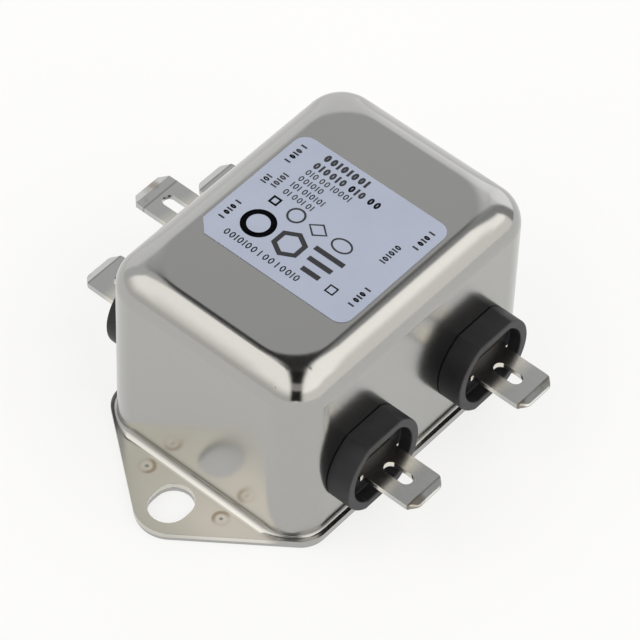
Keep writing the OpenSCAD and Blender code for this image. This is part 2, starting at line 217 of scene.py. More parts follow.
# Where each patch of light begins and where it is full, out of 1: how far a direction points
# towards the lens (front), away from it (back), to the side (slot, fills) or up (foot, low)
FRONT_EDGE = (-0.27, -0.17)
BACK_EDGE = (0.52, 0.60)
SLOT_EDGE = (0.14, 0.31)
SLOT_FOOT = (0.02, 0.12)
LOW_EDGE_RIGHT = (0.40, 0.60)
LOW_EDGE_LEFT = (0.15, 0.72)
BACK_LOW_EDGE = (0.60, 0.72)
RIGHT_FILL_EDGE = (0.12, 0.40)
LEFT_FILL_EDGE = (0.22, 0.42)


def camera_azimuth():
    spot = camera.matrix_world.translation
    return math.degrees(math.atan2(spot.x, -spot.y))


def dot(tree, vector, direction):
    return node(tree, "VectorMath", (vector, direction), out=1, operation="DOT_PRODUCT")


def front_light(across, height):
    """Radiance of the tent's front: bright above, dimmer near the floor, split by the slot."""
    slot = 1 - abs(across).step(*SLOT_EDGE)
    slot = slot * (1 - height.band(0.76, 0.08, 0.10) * LENS_SHINE)
    right_low = across.step(0, 0.1) * (1 - height.step(*LOW_EDGE_RIGHT))
    left_low = (-across).step(0, 0.1) * (1 - height.step(*LOW_EDGE_LEFT))
    low_part = right_low + left_low
    tent = low_part * LOW + (1 - low_part) * TENT * (1 - across.step(0, 0.3) * TENT_DIM)
    return (1 - slot * height.step(*SLOT_FOOT)) * tent


def back_light(height):
    return BACK + (1 - height.step(*BACK_LOW_EDGE)) * (BACK_LOW - BACK)


def light_tent():
    world = bpy.data.worlds.new("light_tent")
    world.use_nodes = True
    bpy.context.scene.world = world
    tree = world.node_tree
    look = node(tree, "TexCoord")
    facing = math.radians(camera_azimuth())
    towards = dot(tree, look, (math.sin(facing), -math.cos(facing), 0))
    across = dot(tree, look, (math.cos(facing), math.sin(facing), 0))
    height = dot(tree, look, (0, 0, 1))
    front = towards.step(*FRONT_EDGE)
    back = (-towards).step(*BACK_EDGE)
    left_gap = (1 - front) * (1 - back) * (-across).step(*LEFT_FILL_EDGE)
    total = front * front_light(across, height) + back * back_light(height) + DARK
    total = total + across.step(*RIGHT_FILL_EDGE) * RIGHT_FILL + left_gap * LEFT_FILL
    ground = 1 - height.step(-0.02, 0.0)
    background = tree.nodes["Background"]
    connect(tree, blend(tree, front, (1, 1, 1), WARM), background.inputs["Color"])
    connect(tree, total * (1 - ground) + ground * LOW, background.inputs["Strength"])


light_tent()
print("the tent opens towards azimuth", round(camera_azimuth(), 1))

# %% [markdown]
# The floor is a wide sheet of pale paint that keeps the soft shadow. What the lens sees of it,
# directly or in the metal, is partly a white glow of strength 1, so the backdrop is plain and
# nearly white. The glow adds no light to the part: other rays meet only the paint.

# %% Lay the floor
def put(name, bm, smooth=True):
    """Turn a finished bmesh into an object that sits at the origin."""
    mesh = bpy.data.meshes.new(name)
    bm.to_mesh(mesh)
    bm.free()
    if smooth:
        mesh.shade_smooth()
    made = bpy.data.objects.new(name, mesh)
    bpy.context.scene.collection.objects.link(made)
    return made


def principled(name, **values):
    """A material with the plain values of its shader set; varying ones are connected later."""
    material = bpy.data.materials.new(name)
    material.use_nodes = True
    shader = material.node_tree.nodes["Principled BSDF"]
    for key, value in values.items():
        shader.inputs[key.replace("_", " ").title()].default_value = value
    return material, material.node_tree, shader


WHITE_SHARE = 0.76              # of the glow in what the lens sees of the floor
floor_mesh = bmesh.new()
bmesh.ops.create_grid(floor_mesh, x_segments=8, y_segments=8, size=5)
floor = put("studio_floor", floor_mesh, smooth=False)


def floor_paint():
    """Pale paint, with a white glow for what the lens sees, straight, mirrored or through."""
    material, tree, shader = principled("floor_paint", roughness=0.9)
    shader.inputs["Base Color"].default_value = (0.90, 0.90, 0.89, 1)
    shader.inputs["Specular IOR Level"].default_value = 0
    white = node(tree, "Emission", {"Color": (1, 1, 0.99, 1), "Strength": 1.0})
    seen = [node(tree, "LightPath", out=i) for i in (0, 3, 6)]
    share = seen[0].math("MAXIMUM", seen[1]).math("MAXIMUM", seen[2]) * WHITE_SHARE
    mixed = node(tree, "MixShader", (share, Sock(tree, shader.outputs[0]), white))
    connect(tree, mixed, tree.nodes["Material Output"].inputs["Surface"])
    return material


floor.data.materials.append(floor_paint())
print("the floor is", round(floor.dimensions.x, 1), "m wide")

# %% [markdown]
# ## Outlines
# A sheet-metal outline is arcs joined by straight lines, so one helper gives the points of an
# arc and another closes a ring of points into edges. Flat regions with holes are then filled
# by `triangle_fill`, which reads the outer ring and every inner ring at once. A flat blank is
# such a region, pulled down by its thickness.

# %% Arcs, rings and filled regions
def arc(centre, radius, start, end, steps=12):
    """Points on an arc, angles in degrees."""
    angles = [math.radians(start + (end - start) * i / steps) for i in range(steps + 1)]
    return [Vector(centre) + radius * Vector((math.cos(a), math.sin(a))) for a in angles]


def oval(width, height, centre=(0, 0)):
    """Two round ends joined by straight sides."""
    r = min(width, height) / 2
    reach = Vector((width / 2 - r, height / 2 - r))
    middle = Vector(centre)
    turn = 0 if width > height else 90
    return (arc(middle + reach, r, turn - 90, turn + 90)
            + arc(middle - reach, r, turn + 90, turn + 270))


def flange_outline(inset=0.0):
    """Ear tips joined by tangents to the four corner arcs."""
    tip = Vector((hole_pitch / 2, 0))
    root = Vector((can_l / 2 - corner_r + flare_r, lip_y - root_r))
    step = tip - root
    lean = math.degrees(math.atan2(step.y, step.x) + math.acos((root_r - ear_r) / step.length))
    quarter = (arc(tip, ear_r - inset, 0, lean) + arc(root, root_r - inset, lean, 90))
    half = quarter + [Vector((-p.x, p.y)) for p in reversed(quarter)]
    return half + [Vector((-p.x, -p.y)) for p in half]


def ring_of(bm, points, place=Matrix()):
    """A closed ring of edges through flat points, put where place says."""
    spots = [p for i, p in enumerate(points) if (p - points[i - 1]).length > tiny]
    verts = [bm.verts.new(place @ p.to_3d()) for p in spots]
    return [bm.edges.new(pair) for pair in zip(verts, verts[1:] + verts[:1])]


def fill(bm, rings, normal):
    """Fill the flat region between an outer ring and the rings inside it."""
    edges = [edge for ring in rings for edge in ring]
    return bmesh.ops.triangle_fill(bm, use_beauty=True, use_dissolve=False, edges=edges,
                                   normal=normal)["geom"]


def mounting_holes(bm, z):
    """The rings of the two oblong holes, at height z."""
    return [ring_of(bm, oval(hole_l, hole_w, (side * hole_pitch / 2, 0)), at(z))
            for side in (-1, 1)]


def pull_down(bm, depth):
    """Give a filled flat region its thickness, downwards."""
    lower = bmesh.ops.extrude_face_region(bm, geom=bm.faces[:])["geom"]
    verts = [g for g in lower if isinstance(g, bmesh.types.BMVert)]
    bmesh.ops.translate(bm, vec=(0, 0, -depth), verts=verts)
    bmesh.ops.recalc_face_normals(bm, faces=bm.faces)


def round_edges(bm, edges, radius, segments, clamp=True):
    """Bevel edges to a round."""
    return bmesh.ops.bevel(bm, geom=edges, offset=radius, offset_type="OFFSET",
                           segments=segments, profile=0.5, affect="EDGES",
                           clamp_overlap=clamp, material=-1)


def at(z):
    """The flat plane at height z."""
    return Matrix.Translation((0, 0, z))


print("flange outline has", len(flange_outline()), "points")

# %% [markdown]
# ## The drawn can
# A press draws the can from one sheet, so it has no seams: five walls, a round-out at the
# mouth, and a flange that runs into the ears. A cube is the natural start. Its upright edges
# are bevelled to the corner radius and then its top edge to a smaller one, which leaves clean
# rows of faces round every curve. Each terminal wall is filled again round its two bush holes.

# %% Draw the box
ROLL_R = 1.3 * MM                       # a little softer than drawn, as pressed sheet is
CORNER_STEPS = 16
TOP_STEPS = 14
WALL_AREA = 100 * MM * MM               # more than any face but a whole wall has
mouth = wall_z + 1.2 * ROLL_R           # where the walls end and the roll-out begins


def drawn_box(bm):
    height = can_high.z - mouth
    size = Matrix.Diagonal((can_l, can_d, height, 1))
    bmesh.ops.create_cube(bm, size=1, matrix=at(mouth + height / 2) @ size)
    upright = [e for e in bm.edges if abs(e.verts[0].co.z - e.verts[1].co.z) > height / 2]
    round_edges(bm, upright, corner_r, CORNER_STEPS)
    top_edge = [e for e in bm.edges if min(v.co.z for v in e.verts) > can_high.z - tiny]
    round_edges(bm, top_edge, top_r, TOP_STEPS)
    bottom = min(bm.faces, key=lambda f: f.calc_center_median().z)
    bmesh.ops.delete(bm, geom=[bottom], context="FACES_ONLY")


def open_terminal_walls(bm):
    """Cut the two oval bush holes in each terminal wall."""
    bush_low, bush_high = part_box("load_bush_p")
    spot = (bush_low + bush_high) / 2
    walls = [f for f in bm.faces if abs(f.normal.y) > 0.999 and f.calc_area() > WALL_AREA]
    for wall in walls:
        normal = wall.normal.copy()
        rings = [list(wall.edges)]
        bmesh.ops.delete(bm, geom=[wall], context="FACES_ONLY")
        for side in (-1, 1):
            place = Matrix.Translation((side * spot.x, normal.y * can_d / 2, spot.z))
            turn = Matrix.Rotation(math.radians(90), 4, "X")
            rings.append(ring_of(bm, oval(neck_w, neck_h), place @ turn))
        fill(bm, rings, normal)


can_mesh = bmesh.new()
drawn_box(can_mesh)
open_terminal_walls(can_mesh)
print("the drawn box has", len(can_mesh.faces), "faces")

# %% [markdown]
# The mouth is rolled outwards by extruding its open edge a little at a time. Each point moves
# along its own outward direction on a quarter circle. The lip on the terminal sides is narrow,
# so there the quarter circle is smaller, and half of the lip stays flat.

# %% Roll out the mouth
FLARE_STEPS = 8


def wall_point(point):
    """The wall's own spot and outward direction for a point beside it."""
    limit = Vector((can_l / 2 - corner_r, can_d / 2 - corner_r))
    heart = Vector([max(-m, min(m, c)) for c, m in zip(point.xy, limit)])
    outward = (point.xy - heart).normalized()
    return heart + outward * corner_r, outward


def room_to_edge(spot, outward):
    """How far the flange reaches out from the wall at this spot."""
    outline = flange_outline()
    far = spot + outward * hole_pitch
    hits = [intersect_line_line_2d(spot, far, a, b) for a, b in zip(outline, outline[1:])]
    hits.append(intersect_line_line_2d(spot, far, outline[-1], outline[0]))
    return min((hit - spot).length for hit in hits if hit)


def roll_out(bm):
    ring = [e for e in bm.edges if e.is_boundary and max(v.co.z for v in e.verts) < mouth + tiny]
    for step in range(FLARE_STEPS + 1):
        made = bmesh.ops.extrude_edge_only(bm, edges=ring)["geom"]
        ring = [g for g in made if isinstance(g, bmesh.types.BMEdge) and g.is_boundary]
        for vert in {v for e in ring for v in e.verts}:
            spot, outward = wall_point(vert.co)
            radius = min(ROLL_R, room_to_edge(spot, outward) / 2)
            swing = math.radians(90) * step / FLARE_STEPS
            out = spot + outward * radius * (1 - math.cos(swing))
            vert.co = (*out, wall_z + radius * (1 - math.sin(swing)))
    return ring


mouth_ring = roll_out(can_mesh)
print("the mouth ends in", len(mouth_ring), "edges")

# %% [markdown]
# The flange is one flat region between the rolled mouth and its own outline, round two oblong
# holes and four spot welds. Each weld is then a round face, and two insets press it into a
# shallow dent.

# %% Fill the flange, its holes and its spot welds
WELD_INSETS = ((0.18, -0.006), (0.16, -0.009))     # width and depth of each inset, in millimetres


def weld_places():
    return [(sx * weld_spot.x, sy * weld_spot.y) for sx in (-1, 1) for sy in (-1, 1)]


def whole_flats(bm):
    """Join the triangles of each flat region, so that it is shaded as one."""
    bmesh.ops.dissolve_limit(bm, angle_limit=math.radians(0.5), verts=bm.verts,
                             edges=bm.edges, use_dissolve_boundaries=False)


def flange(bm, inner_ring):
    rings = [inner_ring, ring_of(bm, flange_outline(), at(wall_z))]
    rings += mounting_holes(bm, wall_z)
    welds = [ring_of(bm, arc(spot, weld_r, 0, 360, 24), at(wall_z)) for spot in weld_places()]
    fill(bm, rings + welds, (0, 0, 1))
    dents = [bmesh.ops.edgeloop_fill(bm, edges=ring)["faces"][0] for ring in welds]
    for width, depth in WELD_INSETS:
        bmesh.ops.inset_individual(bm, faces=dents, thickness=width * MM, depth=depth * MM,
                                   use_even_offset=True)


flange(can_mesh, mouth_ring)
whole_flats(can_mesh)
bmesh.ops.recalc_face_normals(can_mesh, faces=can_mesh.faces)
if max(can_mesh.faces, key=lambda f: f.calc_center_median().z).normal.z < 0:
    bmesh.ops.reverse_faces(can_mesh, faces=can_mesh.faces)
print("with its flange the can has", len(can_mesh.faces), "faces")

# %% [markdown]
# The bmesh is only the outer skin. Solidify grows the sheet's thickness inwards, a narrow
# Bevel takes the sharpness off the cut edges, and Weighted Normal lets the large flat faces
# keep their own direction, so a flat wall reflects like a flat wall.

# %% Give the sheet its thickness
CUT_EDGE = 0.06 * MM                    # round on the edge of stamped sheet


def soft_edges(piece, width, segments=2, angle=35):
    """Round the sharp edges of a piece and keep its flats flat."""
    bevel = piece.modifiers.new("soft_edges", "BEVEL")
    bevel.width = width
    bevel.segments = segments
    bevel.limit_method = "ANGLE"
    bevel.angle_limit = math.radians(angle)
    flats = piece.modifiers.new("flat_faces", "WEIGHTED_NORMAL")
    flats.weight = 100
    flats.keep_sharp = True
    return piece


def dress(piece, slot, *nodes):
    """Tie a piece to the frame: its body and the nodes it stands for, which it hides; slot is not used.
    """
    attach(piece, "root")
    if nodes:
        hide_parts(*nodes)
    return piece


can_shell = put("can_shell", can_mesh)
wall = can_shell.modifiers.new("sheet", "SOLIDIFY")
wall.thickness = sheet
wall.offset = -1
wall.use_even_offset = True
soft_edges(can_shell, CUT_EDGE)
dress(can_shell, "can_steel", "can")
print("the can shell stands for the node can")

# %% [markdown]
# ## The base plate
# A flat blank closes the can from below. It is punched from the same outline, a little smaller,
# so its face is filled like the flange and pulled down by its thickness.

# %% Punch the base plate
def punched_plate():
    bm = bmesh.new()
    inset = can_high.x - plate_high.x
    outline = ring_of(bm, flange_outline(inset), at(plate_high.z))
    fill(bm, [outline] + mounting_holes(bm, plate_high.z), (0, 0, 1))
    whole_flats(bm)
    pull_down(bm, plate_high.z - plate_low.z)
    return put("base_sheet", bm)


base_sheet = soft_edges(punched_plate(), CUT_EDGE)
dress(base_sheet, "plate_steel", "base_plate")
print("the base sheet has", len(base_sheet.data.polygons), "faces")

# %% [markdown]
# ## Bushes and the earth tab
# The engineering nodes already have the true form of the moulded bushes and the bent earth
# tab. What they lack is the tiny round that every moulded or stamped edge has and that catches
# the light. So a copy of each node is merged, its flat triangles are joined into whole faces,
# and the sharp edges are bevelled. The node itself stays as it is, hidden behind its copy.

# %% Soften a copy of a node
def softened(name, node_name, slot, width, segments=3, angle=25):
    bm = bmesh.new()
    bm.from_mesh(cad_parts[node_name].data)
    bmesh.ops.remove_doubles(bm, verts=bm.verts, dist=tiny)
    whole_flats(bm)
    piece = put(name, bm)
    soft_edges(piece, width, segments, angle)
    return dress(piece, slot, node_name)


TERMINALS = ("load_{}_n", "load_{}_p", "line_{}_n", "line_{}_p")
bushes = [softened(t.format("bush") + "_moulding", t.format("bush"), "bush_plastic", 0.2 * MM)
          for t in TERMINALS]
earth = softened("earth_blade", "earth_tab", "tab_metal", CUT_EDGE, 2, 12)
print("softened", len(bushes), "bushes and the earth tab")

# %% [markdown]
# ## Blades
# A quick-connect blade is stamped from strip. Its outline has shoulders that stop it in the
# bush and two cut corners. It is filled round its slot and pulled down to its thickness. The
# tip is then coined: a cut across the blade makes a crease, everything beyond it is pinched
# towards the middle, and the end is rounded. The rounding is done in a space stretched upwards,
# so that it reaches further along the blade than it does through the blade.

# %% Stamp and coin a blade
CUT = 1.05 * MM             # the two cut corners
CUT_R = 0.4 * MM            # round on them
COIN = 1.0 * MM             # length of the coined tip
PINCH = 2 / 3               # share of the thickness that it loses
TIP_R = 0.36 * MM           # round on its end
SHOULDER = 1.2 * MM         # length of the shoulders
SHOULDER_OUT = 0.4 * MM     # how far they stand out on each side
RECESS = 1.9 * MM           # from the bush's front to the recess floor
SLOT_W = 1.8 * MM
SLOT_L = 4.2 * MM
SLOT_END = 3.0 * MM         # from the tip to the slot
STRETCH = Matrix.Diagonal((1, 1, 3.5, 1))


def blade_outline(inner, floor, tip, half, wide):
    right = [(half, inner), (half, floor), (wide, floor), (wide, floor + SHOULDER),
             (half, floor + SHOULDER), (half, tip - CUT), (half - CUT, tip)]
    left = [(-x, y) for x, y in reversed(right)]
    return [Vector(p) for p in right + left]


def coin(bm, tip):
    """Pinch the tip and round its end."""
    crease = tip - COIN
    geom = bm.verts[:] + bm.edges[:] + bm.faces[:]
    bmesh.ops.bisect_plane(bm, geom=geom, dist=tiny, plane_co=(0, crease, 0), plane_no=(0, 1, 0))
    for vert in bm.verts:
        vert.co.z *= 1 - PINCH * max(0, vert.co.y - crease) / COIN
    bmesh.ops.transform(bm, matrix=STRETCH, verts=bm.verts)
    rims = [e for e in bm.edges if min(v.co.y for v in e.verts) > crease + tiny
            and e.verts[0].co.z * e.verts[1].co.z > 0]
    round_edges(bm, rims, TIP_R, 4, clamp=False)
    bmesh.ops.transform(bm, matrix=STRETCH.inverted(), verts=bm.verts)


def blade(name, node_name, bush_name):
    low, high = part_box(node_name)
    middle = (low + high) / 2
    side = 1 if middle.y > 0 else -1
    inner, tip = sorted((abs(low.y), abs(high.y)))
    front = max(abs(corner.y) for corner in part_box(bush_name))
    wide = (high.x - low.x) / 2
    outline = blade_outline(inner, front - RECESS, tip, wide - SHOULDER_OUT, wide)
    bm = bmesh.new()
    slot = oval(SLOT_W, SLOT_L, (0, tip - SLOT_END - SLOT_L / 2))
    half_t = (high.z - low.z) / 2
    fill(bm, [ring_of(bm, outline, at(half_t)), ring_of(bm, slot, at(half_t))], (0, 0, 1))
    whole_flats(bm)
    pull_down(bm, 2 * half_t)
    corners = [e for e in bm.edges if min(v.co.y for v in e.verts) > tip - CUT - tiny
               and (e.verts[0].co.xy - e.verts[1].co.xy).length < tiny]
    round_edges(bm, corners, CUT_R, 4)
    coin(bm, tip)
    turn = Matrix.Rotation(math.radians(90 - 90 * side), 4, "Z")
    bm.transform(Matrix.Translation((middle.x, 0, middle.z)) @ turn)
    return dress(soft_edges(put(name, bm), CUT_EDGE, 2, 12), "tab_metal", node_name)


tabs = [blade(t.format("tab") + "_blade", t.format("tab"), t.format("bush")) for t in TERMINALS]
print("stamped", len(tabs), "blades of", len(tabs[0].data.polygons), "faces")

# %% [markdown]
# ## The label
# A film label with three round corners and one cut corner lies on the top. The film is filled
# flat and pulled down to the steel. Its print is a layer of its own a hundredth of a
# millimetre thick, made of bars and rings.

# %% Cut the film
INK = 0.012 * MM            # thickness of the print
LABEL_R = 1.8 * MM          # the three round corners
LABEL_CUT = 1.8 * MM        # the cut corner


def label_outline():
    """Corner points, from the load side's left corner round to the cut one."""
    low, high, r = label_low, label_high, LABEL_R
    return (arc((low.x + r, low.y + r), r, 180, 270) + arc((high.x - r, low.y + r), r, 270, 360)
            + arc((high.x - r, high.y - r), r, 0, 90)
            + [Vector((low.x + LABEL_CUT, high.y)), Vector((low.x, high.y - LABEL_CUT))])


def film():
    bm = bmesh.new()
    fill(bm, [ring_of(bm, label_outline(), at(label_high.z - INK))], (0, 0, 1))
    pull_down(bm, label_high.z - INK - label_low.z)
    return put("label_film", bm)


label_film = soft_edges(film(), 0.02 * MM)
dress(label_film, "label_film", "label")
print("the label film has", len(label_film.data.polygons), "faces")

# %% [markdown]
# The print reads from the line side to the load side, so its own axes are `along` (towards
# -Y) and `up` (towards +X). Every mark is placed in those axes from the label's centre, in
# millimetres. Rows of small bars and rings stand in for lines of print, and a turn of 90
# degrees sets the short rows beside the terminals upright.

# %% Marks for the print
RING_WIDTH = 0.62           # of a small ring, as shares of the height of its row
SIGN_GAP = 0.22
BLANK = 0.1


def spot(along, up, turn=0):
    """A place on the label's top, in millimetres; turn is anticlockwise."""
    centre = (label_low + label_high) / 2
    return (Matrix.Translation((centre.x, centre.y, label_high.z - INK))
            @ Matrix.Rotation(math.radians(-90), 4, "Z") @ Matrix.Scale(MM, 4)
            @ Matrix.Translation((along, up, 0)) @ Matrix.Rotation(math.radians(turn), 4, "Z"))


def bar(bm, place, width, height):
    """A solid rectangle, centred."""
    bmesh.ops.create_grid(bm, x_segments=1, y_segments=1, size=0.5,
                          matrix=place @ Matrix.Diagonal((width, height, 1, 1)))


def ring(bm, place, width, height, weight, sides=28):
    """A ring of constant weight; few sides make it a diamond or a hexagon."""
    loops = []
    for shrink in (0, 2 * weight):
        size = Matrix.Diagonal((width - shrink, height - shrink, 1, 1))
        made = bmesh.ops.create_circle(bm, segments=sides, radius=0.5, matrix=place @ size)["verts"]
        loops += {e for v in made for e in v.link_edges}
    bmesh.ops.bridge_loops(bm, edges=loops)


def row(bm, place, length, height, weight, pattern):
    """A line of print: o is a ring, i a bar, a blank a gap; it repeats to the end."""
    along = 0
    index = 0
    while True:
        sign = pattern[index % len(pattern)]
        width = height * RING_WIDTH if sign == "o" else weight
        if along + width > length:
            break
        here = place @ Matrix.Translation((along + width / 2, 0, 0))
        if sign == "o":
            ring(bm, here, width, height, weight, 12)
        elif sign == "i":
            bar(bm, here, width, height)
        along += width + height * (SIGN_GAP if sign != " " else BLANK)
        index += 1


print("bars, rings and rows can be printed")

# %% [markdown]
# The layout is seven rows of print along the label, a group of rings, polygons and bars between
# the last two, and the short upright rows at both ends.

# %% Print the label
def print_layer():
    """Each row has its place, length, height, weight of line and pattern."""
    bm = bmesh.new()
    row(bm, spot(-7.3, 8.9), 7.5, 1.25, 0.36, "ooioiooi")
    row(bm, spot(-7.5, 7.1), 11.2, 1.2, 0.32, "oiooio oio oo")
    row(bm, spot(-7.5, 5.6), 7.6, 0.95, 0.16, "oio oo ioo")
    row(bm, spot(-7.5, 4.25), 4.5, 0.95, 0.16, "ooioi")
    row(bm, spot(-7.5, 2.85), 6.0, 0.95, 0.16, "ioi oio")
    row(bm, spot(-7.5, 1.4), 5.3, 0.95, 0.16, "oi ooi oi")
    row(bm, spot(-8.6, -8.2), 11.8, 1.05, 0.18, "ooioioo i oo i ")
    ring(bm, spot(-7.2, -0.6, 45), 1.9, 1.9, 0.42, 4)
    ring(bm, spot(-3.7, -0.7), 2.5, 2.5, 0.28)
    ring(bm, spot(-0.2, -0.7), 3.0, 2.4, 0.3, 4)
    ring(bm, spot(3.6, -0.7), 3.0, 2.3, 0.26)
    ring(bm, spot(-6.3, -4.7), 4.6, 4.6, 0.8)
    ring(bm, spot(-1.3, -4.7), 4.6, 4.6, 0.75, 6)
    for step in range(3):
        bar(bm, spot(3.6, -3.0 - 1.75 * step), 4.6 - 0.9 * step, 0.75)
    ring(bm, spot(7.2, -6.8, 45), 1.9, 1.9, 0.3, 4)
    for along, up in ((-10.4, 5.2), (-10.4, -7.0), (10.4, 4.9), (10.4, -7.1)):
        row(bm, spot(along, up, 90), 3.6, 0.9, 0.26, "i oio ")
    for along, up, length in ((-9.0, 1.0, 3.2), (-10.4, 0.7, 1.6), (8.8, 0.6, 3.4)):
        row(bm, spot(along, up, 90), length, 0.9, 0.22, "ioio")
    return bm


label_print = put("label_print", print_layer(), smooth=False)
ink = label_print.modifiers.new("ink", "SOLIDIFY")
ink.thickness = INK
ink.offset = 1
dress(label_print, "label_film")
print("the print has", len(label_print.data.polygons), "faces")

# %% [markdown]
# ## Finishes
# Each finish is a short function. Patterns read Object coordinates, which are metres in the
# frame, so a noise scale of 500 has features of about two millimetres.

# %% Shared noise helpers
def position(tree):
    return node(tree, "TexCoord", out=3)


def noise(tree, scale, detail=2.0, stretch=(1, 1, 1)):
    place = node(tree, "Mapping", {"Vector": position(tree), "Scale": stretch})
    return node(tree, "TexNoise", {"Vector": place, "Scale": scale, "Detail": detail})


def axis(tree, index):
    return node(tree, "SeparateXYZ", (position(tree),), out=index)


def bump(tree, shader, height):
    """Relief from a height in metres."""
    made = node(tree, "Bump", {"Height": height, "Distance": 1.0})
    connect(tree, made, shader.inputs["Normal"])


print("noise and bump are ready")

# %% [markdown]
# ### Nickel-plated steel
# The can and its plate are bright sheet with a satin plating. It is a metal with a low, slightly
# uneven roughness, a very fine ripple and upright drawing streaks. Each spot weld leaves a dark
# centre, a pale ring and a brown heat tint. The ears are painted as a brighter, warmer steel, a
# painted sheen that is dimmer at their tips and towards the line side. The top also droops a
# little outside its flat middle, as a drawn top does, which a smooth bump gives without moving
# the mesh.

# %% Steel
STEEL = (0.402, 0.400, 0.388)
# painted sheen on the ears: a brighter, warmer steel, and a dimmer one for the tip and the line side
EAR_SHEEN_BRIGHT = (0.80, 0.765, 0.70)
EAR_SHEEN_DIM = (0.57, 0.56, 0.51)
DROOP_R = 6.0 * MM          # the drawn top droops a little outside corners of this radius
DROOP_W = 3.1 * MM          # over this width
DROOP = 0.33 * MM           # by this much


def droop(tree):
    """How far the drawn top has sunk at a point, in metres."""
    across = (abs(axis(tree, 0)) - (can_l / 2 - top_r - DROOP_R)).math("MAXIMUM", 0)
    along = (abs(axis(tree, 1)) - (can_d / 2 - top_r - DROOP_R)).math("MAXIMUM", 0)
    outside = (across * across + along * along) ** 0.5 - DROOP_R
    return outside.step(0, DROOP_W) * DROOP


def painted_ear_sheen(tree, colour, low, cloud):
    """Painted sheen: the ears are painted as brighter, warmer steel, dimmer at the tip and on the line
    side.
    """
    x, y = axis(tree, 0), axis(tree, 1)
    ear_sheen = blend(tree, y.step(-9 * MM, 9 * MM), EAR_SHEEN_BRIGHT, EAR_SHEEN_DIM)
    from_tip = can_high.x - abs(x)
    ear_sheen = blend(tree, (1 - from_tip.step(0, 6 * MM)) * 0.8, ear_sheen, EAR_SHEEN_DIM)
    ear = low * abs(x).step(can_l / 2, can_l / 2 + 1.5 * MM)
    return blend(tree, ear * (0.55 + cloud * 0.6), colour, ear_sheen)


def weld_marks(tree, colour, low):
    """A brown tint on one side of each weld, a pale ring and a dark centre."""
    dx = abs(axis(tree, 0)) - weld_spot.x
    dy = abs(axis(tree, 1)) - weld_spot.y
    away = (dx * dx + dy * dy) ** 0.5
    side = (dy * -700 - dx * 300).step(-0.4, 0.5)
    tint = away.band(0.95 * MM, 0.10 * MM, 0.30 * MM) * low
    colour = blend(tree, tint * side * 0.6, colour, (0.26, 0.17, 0.08))
    colour = blend(tree, tint * 0.15, colour, (0.32, 0.24, 0.15))
    pale = away.band(0.6 * MM, 0.1 * MM, 0.15 * MM) * low
    colour = blend(tree, pale * 0.25, colour, (0.72, 0.70, 0.66))
    centre = (1 - away.step(0.10 * MM, 0.34 * MM)) * low
    return blend(tree, centre * 0.7, colour, (0.12, 0.10, 0.07))


def painted_fold_shade(tree, colour):
    """Painted shade: a faint dark line where an end wall turns out."""
    fold_shade = axis(tree, 2).band(wall_z + 0.95 * flare_r, 0.15 * MM, 0.35 * MM)
    fold_shade = fold_shade * abs(axis(tree, 0)).step(can_l / 2 - 0.5 * MM, can_l / 2 - 0.2 * MM)
    return blend(tree, fold_shade * 0.4, colour, (0.20, 0.18, 0.15))


def steel(name, welds=True):
    material, tree, shader = principled(name, metallic=1.0)
    z = axis(tree, 2)
    broad = noise(tree, 45, 3)
    fine = noise(tree, 1800, 3)
    colour = blend(tree, (broad * 0.4 + fine * 0.6).step(0.3, 0.7),
                   tuple(c * 0.985 for c in STEEL), tuple(c * 1.015 for c in STEEL))
    if welds:
        low = 1 - z.step(wall_z + 0.1 * MM, wall_z + 0.5 * MM)
        # painted sheen: the ears are painted brighter and warmer than the can
        colour = painted_ear_sheen(tree, colour, low, broad)
        colour = weld_marks(tree, colour, low)
        # painted shade along the turn-out of each end wall
        colour = painted_fold_shade(tree, colour)
    specks = node(tree, "TexVoronoi", {"Vector": position(tree), "Scale": 130})
    colour = blend(tree, (1 - specks.step(0.010, 0.018)) * 0.4, colour, (0.05, 0.045, 0.04))
    connect(tree, colour, shader.inputs["Base Color"])
    round_part = z.step(can_high.z - 4.5 * MM, can_high.z - 3 * MM)
    round_part = round_part - z.step(can_high.z - 0.15 * MM, can_high.z - 0.03 * MM)
    connect(tree, 0.16 + fine * 0.05 - round_part * 0.06, shader.inputs["Roughness"])
    streaks = noise(tree, 900, 2, (1, 1, 0.02)) * (1 - z.step(can_high.z - MM, can_high.z))
    bump(tree, shader, fine * 0.0012 * MM + streaks * 0.003 * MM - droop(tree))
    return material


can_shell.data.materials.append(steel("satin_can_steel"))
base_sheet.data.materials.append(steel("satin_plate_steel", welds=False))
print("steel is on the can and the plate")

# %% [markdown]
# ### Moulded plastic, tab metal, film and ink
# The bushes are a dark, filled plastic with the fine texture of a spark-eroded mould, and a
# painted highlight makes their front edge a little lighter. The tabs and the earth blade are tinned
# brass, stamped, and smoother than the can. The label is a pale, bluish film, and its print is a
# dark ink.

# %% The other outside finishes
def bush_plastic():
    """Dark moulding, painted lighter at its front edge as a painted highlight; the rims of all four
    bushes lie equally far out.
    """
    material, tree, shader = principled("bush_plastic", metallic=0.0)
    shader.inputs["Specular IOR Level"].default_value = 0.35
    grain = noise(tree, 4200, 4)
    cloud = noise(tree, 300, 2)
    colour = blend(tree, cloud.step(0.3, 0.7), (0.010, 0.010, 0.013), (0.016, 0.016, 0.019))
    front = -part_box("load_bush_p")[0].y
    # painted highlight: the outermost front of each bush is painted lighter
    rim_highlight = abs(axis(tree, 1)).step(front - 0.15 * MM, front - 0.05 * MM)
    colour = blend(tree, rim_highlight, colour, (0.032, 0.032, 0.036))
    connect(tree, colour, shader.inputs["Base Color"])
    connect(tree, 0.42 + grain * 0.16, shader.inputs["Roughness"])
    bump(tree, shader, grain * 0.006 * MM)
    return material


